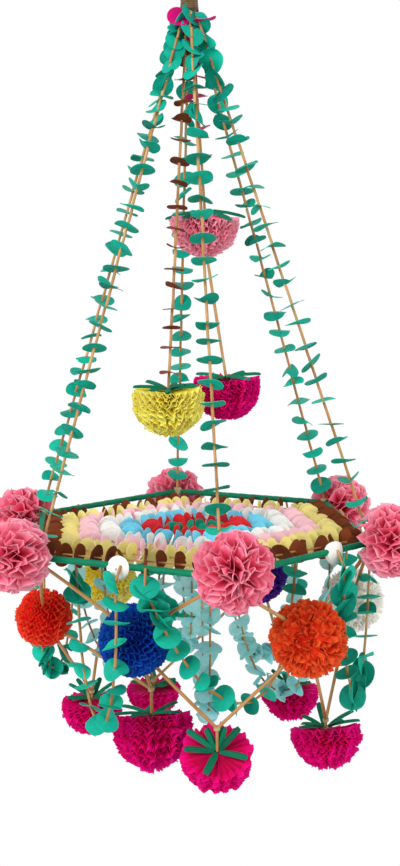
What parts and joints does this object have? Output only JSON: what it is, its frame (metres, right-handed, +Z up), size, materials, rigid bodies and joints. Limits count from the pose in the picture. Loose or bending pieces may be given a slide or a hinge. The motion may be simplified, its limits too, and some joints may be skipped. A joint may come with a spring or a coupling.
{
  "type": "paper chandelier",
  "caption": "Hanging straw-and-paper spider chandelier: disc strands carry a hexagonal rim with a web of paper discs, tissue pompoms, straw braces and disc swags.",
  "frame": {"origin": "top inside of the hanging loop, where a hook bears", "axes": "+Z up along the axis of the hexagonal rim, -Y towards one corner of the rim, which is the front"},
  "size_m": [0.4472, 0.5032, 0.8317],
  "materials": {
    "cord": "twisted natural cord",
    "straw": "natural straw, slightly glossy",
    "rim_paper": "paper strip wound round a tube",
    "teal_paper": "matte paper discs on straw",
    "leaf_paper": "matte paper strips",
    "aqua_paper": "thin matte paper discs on straw",
    "brown_paper": "matte paper discs on straw",
    "yellow_paper": "matte paper discs on straw",
    "pale_pink_paper": "matte paper discs on straw",
    "white_paper": "matte paper discs on straw",
    "sky_blue_paper": "matte paper discs on straw",
    "red_paper": "matte paper discs on straw",
    "dark_green_paper": "matte paper discs on straw",
    "pink_tissue": "ruffled tissue",
    "magenta_tissue": "ruffled tissue",
    "yellow_tissue": "ruffled tissue",
    "red_tissue": "ruffled tissue",
    "blue_tissue": "ruffled tissue",
    "orange_tissue": "ruffled tissue",
    "white_tissue": "ruffled tissue",
    "purple_tissue": "ruffled tissue"
  },
  "bodies": {
    "root": {"hanging_tie": "cord", "rim": "rim_paper", "strand_1": "teal_paper", "strand_2": "teal_paper", "strand_3": "teal_paper", "strand_4": "teal_paper", "strand_5": "teal_paper", "strand_6": "teal_paper", "brown_pendant_string": "brown_paper", "magenta_pendant_string": "magenta_tissue", "lower_pendant_straw": "straw", "pink_half_pom": "pink_tissue", "pink_leaves": "leaf_paper", "yellow_half_pom": "yellow_tissue", "yellow_leaves": "leaf_paper", "magenta_half_pom": "magenta_tissue", "magenta_leaves": "leaf_paper", "web_cords": "cord", "web_row_brown": "brown_paper", "web_row_yellow": "yellow_paper", "web_row_pale_pink": "pale_pink_paper", "web_row_white": "white_paper", "web_row_sky_blue": "sky_blue_paper", "web_row_red": "red_paper", "web_row_dark_green": "dark_green_paper", "upper_straws": "straw", "lower_straws": "straw", "red_pom": "red_tissue", "blue_pom": "blue_tissue", "orange_pom": "orange_tissue", "white_pom": "white_tissue", "purple_pom": "purple_tissue", "yellow_pom": "yellow_tissue", "low_1_half_pom": "magenta_tissue", "low_1_leaves": "leaf_paper", "low_2_half_pom": "magenta_tissue", "low_2_leaves": "leaf_paper", "low_3_half_pom": "magenta_tissue", "low_3_leaves": "leaf_paper", "low_4_half_pom": "magenta_tissue", "low_4_leaves": "leaf_paper", "low_5_half_pom": "magenta_tissue", "low_5_leaves": "leaf_paper", "low_6_half_pom": "magenta_tissue", "low_6_leaves": "leaf_paper", "corner_pom_1": "pink_tissue", "corner_pom_2": "pink_tissue", "corner_pom_3": "pink_tissue", "corner_pom_4": "pink_tissue", "corner_pom_5": "pink_tissue", "corner_pom_6": "pink_tissue", "swag_1": "teal_paper", "swag_2": "teal_paper", "swag_3": "teal_paper", "swag_4": "teal_paper", "swag_5": "teal_paper", "swag_6": "teal_paper", "festoon_1": "aqua_paper", "festoon_2": "aqua_paper", "festoon_3": "aqua_paper"}
  },
  "joints": []
}
